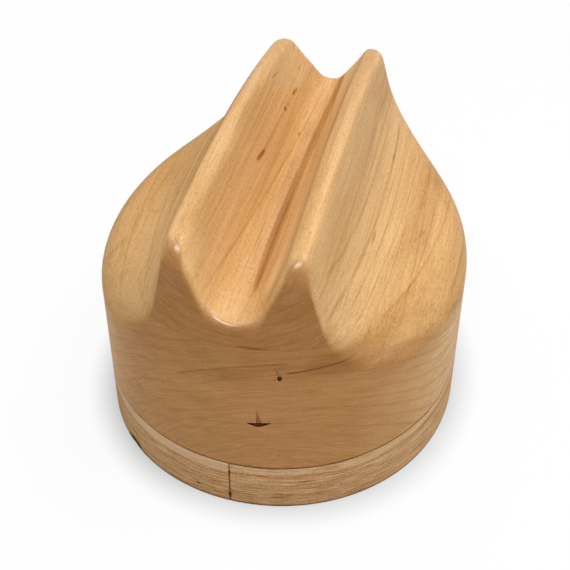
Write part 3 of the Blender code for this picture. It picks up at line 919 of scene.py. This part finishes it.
# Table, light and camera: a pale tabletop under soft lamps all round, the two strongest in front
# and on the right. The camera looks down on the block's broader end from a little to its right.
FLOOR_SIZE = 6.0
FLOOR_GREY = (0.78, 0.78, 0.78, 1)
FLOOR_GLOW = 0.9
WHITE = (1, 1, 1, 1)
LAMP_TARGET = (0, 0, 0.08)
LAMPS = {  # where each stands, its width and length, all in metres, and its power in watts
    "right_softbox": ((0.74, 0.1, 1.3), (0.8, 0.8), 11.6),
    "front_strip": ((0.12, -0.78, 1.3), (1.0, 0.24), 12.7),
    "left_softbox": ((-0.80, 0.1, 1.2), (0.8, 0.8), 5.0),
    "back_softbox": ((0.1, 1.0, 1.0), (1.2, 0.8), 5.0),
}
WORLD_STRENGTH = 0.12
SHADOW_REACH = 0.016
SHADOW_DEPTH = 0.85
SHADOW_EASE = 0.27
SHADOW_EASED = (-0.06, 0.0)
SHADOW_SAMPLES = 16
CAMERA_AZIMUTH = math.radians(13.54)
CAMERA_ELEVATION = math.radians(40.83)
CAMERA_DISTANCE = 0.57369
CAMERA_TARGET = Vector((-0.00158, -0.00038, 0.05088))
CAMERA_LENS = 72.385
CAMERA_SENSOR = 36
CAMERA_CLIP = (0.01, 20)


def looking_on(tree):
    """1 for the rays that show the surroundings as they look, 0 for those that light the block."""
    paths = tree.add("ShaderNodeLightPath", output="Is Camera Ray")
    return paths.high(paths.output("Is Glossy Ray")).high(paths.output("Is Transmission Ray"))


def tabletop():
    bm = bmesh.new()
    bmesh.ops.create_grid(bm, x_segments=1, y_segments=1, size=FLOOR_SIZE / 2)
    material, tree = new_material("pale_tabletop")
    diffuse = tree.add("ShaderNodeBsdfDiffuse", {}, {"Color": FLOOR_GREY})
    open_sky = tree.add("ShaderNodeAmbientOcclusion", {"samples": SHADOW_SAMPLES},
                        {"Distance": SHADOW_REACH}, output="AO")
    across, _, _ = tree.add("ShaderNodeTexCoord", output="Object").parts()
    # The glow carries a painted contact shadow: grey where the occlusion finds the block near,
    # deeper on the left of the table.
    depth = SHADOW_DEPTH - across.ramp(*SHADOW_EASED) * SHADOW_EASE
    bright = 1 - (1 - open_sky) * depth
    grey = tree.vector(bright, bright, bright)
    glow = tree.add("ShaderNodeEmission", {}, {"Color": grey, "Strength": 1})
    share = looking_on(tree) * FLOOR_GLOW
    surface = tree.add("ShaderNodeMixShader", {}, {0: share, 1: diffuse, 2: glow})
    tree.add("ShaderNodeOutputMaterial", {}, {0: surface})
    top = show("tabletop", bm, material)


def daylight():
    world = bpy.data.worlds.new("studio")
    bpy.context.scene.world = world
    world.use_nodes = True
    world.node_tree.nodes.clear()
    tree = Tree(world.node_tree)
    dim = tree.add("ShaderNodeBackground", {}, {"Color": WHITE, "Strength": WORLD_STRENGTH})
    white = tree.add("ShaderNodeBackground", {}, {"Color": WHITE, "Strength": 1})
    sky = tree.add("ShaderNodeMixShader", {}, {0: looking_on(tree), 1: dim, 2: white})
    tree.add("ShaderNodeOutputWorld", {}, {0: sky})


def aim(thing, place, target):
    thing.location = place
    thing.rotation_mode = "QUATERNION"
    thing.rotation_quaternion = (Vector(place) - Vector(target)).to_track_quat("Z", "Y")


tabletop()
daylight()
for name, (place, size, power) in LAMPS.items():
    lamp = bpy.data.lights.new(name, "AREA")
    lamp.shape, lamp.energy = "RECTANGLE", power
    lamp.size, lamp.size_y = size
    light = bpy.data.objects.new(name, lamp)
    bpy.context.scene.collection.objects.link(light)
    aim(light, place, LAMP_TARGET)

back = Vector((math.sin(CAMERA_AZIMUTH) * math.cos(CAMERA_ELEVATION),
               -math.cos(CAMERA_AZIMUTH) * math.cos(CAMERA_ELEVATION), math.sin(CAMERA_ELEVATION)))
lens = bpy.data.cameras.new("camera")
lens.lens, lens.sensor_width = CAMERA_LENS, CAMERA_SENSOR
lens.clip_start, lens.clip_end = CAMERA_CLIP
camera = bpy.data.objects.new("camera", lens)
bpy.context.scene.collection.objects.link(camera)
aim(camera, CAMERA_TARGET + back * CAMERA_DISTANCE, CAMERA_TARGET)
bpy.context.scene.camera = camera
bpy.context.scene.view_settings.view_transform = "Standard"
